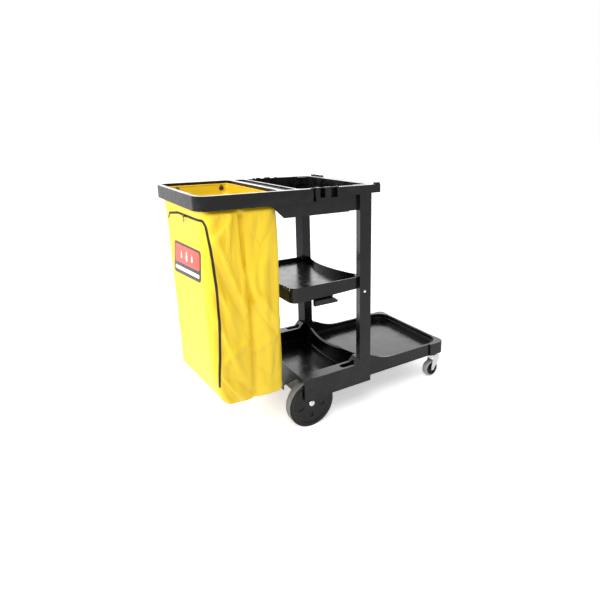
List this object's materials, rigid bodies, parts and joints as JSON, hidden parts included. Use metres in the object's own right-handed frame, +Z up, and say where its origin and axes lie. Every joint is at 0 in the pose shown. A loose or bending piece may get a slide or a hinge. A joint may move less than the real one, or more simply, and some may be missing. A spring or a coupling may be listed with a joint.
{
  "type": "housekeeping cart",
  "caption": "Wheeled housekeeping cart with a top tray, a zipped waste bag, a middle shelf and a low front platform on casters.",
  "frame": {"origin": "on the floor under the middle of the cart's bounding box", "axes": "+X from the bag end to the front platform, +Y to the cart's left side, +Z up"},
  "size_m": [1.168, 0.552, 0.981],
  "materials": {
    "moulding": "glossy black moulding, slightly textured on its outer sides",
    "hub": "black moulded wheel centre",
    "tread": "grey non-marking tread",
    "steel": "bright zinc plating",
    "nylon": "natural nylon",
    "vinyl": "yellow coated fabric, satin",
    "zip_tape": "black woven tape",
    "zip_metal": "antique brass",
    "eyelet": "satin",
    "patch": "printed patch with a plain drop sign"
  },
  "bodies": {
    "cart": {"base_platform": "moulding", "left_upright": "moulding", "right_upright": "moulding", "middle_shelf": "moulding", "top_frame": "moulding", "bag": "vinyl", "bag_rim_binding": "vinyl", "bag_eyelet_1": "eyelet", "bag_eyelet_2": "eyelet", "bag_eyelet_3": "eyelet", "bag_eyelet_4": "eyelet", "zip_tape": "zip_tape", "front_patch": "patch", "rear_axle": "steel", "left_wheel_washer": "steel", "left_wheel_axle_cap": "steel", "left_caster_socket": "nylon", "left_caster_stem": "steel", "left_caster_race": "steel", "left_shelf_bolt": "steel", "left_shelf_nut": "steel", "right_wheel_washer": "steel", "right_wheel_axle_cap": "steel", "right_caster_socket": "nylon", "right_caster_stem": "steel", "right_caster_race": "steel", "right_shelf_bolt": "steel", "right_shelf_nut": "steel"},
    "left_rear_wheel": {"left_wheel_tyre": "tread", "left_wheel_hub": "hub", "left_wheel_bush": "nylon"},
    "left_caster_swivel": {"left_caster_fork": "steel", "left_caster_axle_bolt": "steel", "left_caster_nut": "steel"},
    "left_caster_wheel": {"left_caster_tyre": "tread", "left_caster_hub": "hub"},
    "right_rear_wheel": {"right_wheel_tyre": "tread", "right_wheel_hub": "hub", "right_wheel_bush": "nylon"},
    "right_caster_swivel": {"right_caster_fork": "steel", "right_caster_axle_bolt": "steel", "right_caster_nut": "steel"},
    "right_caster_wheel": {"right_caster_tyre": "tread", "right_caster_hub": "hub"},
    "zip_slider": {"zip_slider": "zip_metal"},
    "zip_pull": {"zip_pull": "zip_metal"}
  },
  "joints": [
    {"name": "left_rear_wheel_roll", "type": "hinge", "parent": "cart", "child": "left_rear_wheel", "pos_m": [-0.173, 0.251, 0.1016], "axis": [0, 1, 0], "continuous": true},
    {"name": "left_caster_swivel_turn", "type": "hinge", "parent": "cart", "child": "left_caster_swivel", "pos_m": [0.557, 0.213, 0.11], "axis": [0, 0, 1], "continuous": true},
    {"name": "left_caster_wheel_roll", "type": "hinge", "parent": "left_caster_swivel", "child": "left_caster_wheel", "pos_m": [0.5335, 0.213, 0.04], "axis": [0, 1, 0], "continuous": true},
    {"name": "right_rear_wheel_roll", "type": "hinge", "parent": "cart", "child": "right_rear_wheel", "pos_m": [-0.173, -0.251, 0.1016], "axis": [0, 1, 0], "continuous": true},
    {"name": "right_caster_swivel_turn", "type": "hinge", "parent": "cart", "child": "right_caster_swivel", "pos_m": [0.557, -0.213, 0.11], "axis": [0, 0, 1], "continuous": true},
    {"name": "right_caster_wheel_roll", "type": "hinge", "parent": "right_caster_swivel", "child": "right_caster_wheel", "pos_m": [0.5335, -0.213, 0.04], "axis": [0, 1, 0], "continuous": true},
    {"name": "zip_slide", "type": "slide", "parent": "cart", "child": "zip_slider", "axis": [0, 1, 0], "range_m": [-0.12, 0.05]},
    {"name": "zip_pull_hinge", "type": "hinge", "parent": "zip_slider", "child": "zip_pull", "pos_m": [-0.5718, -0.07, 0.888], "axis": [0, 1, 0], "range_deg": [0, 165]}
  ]
}
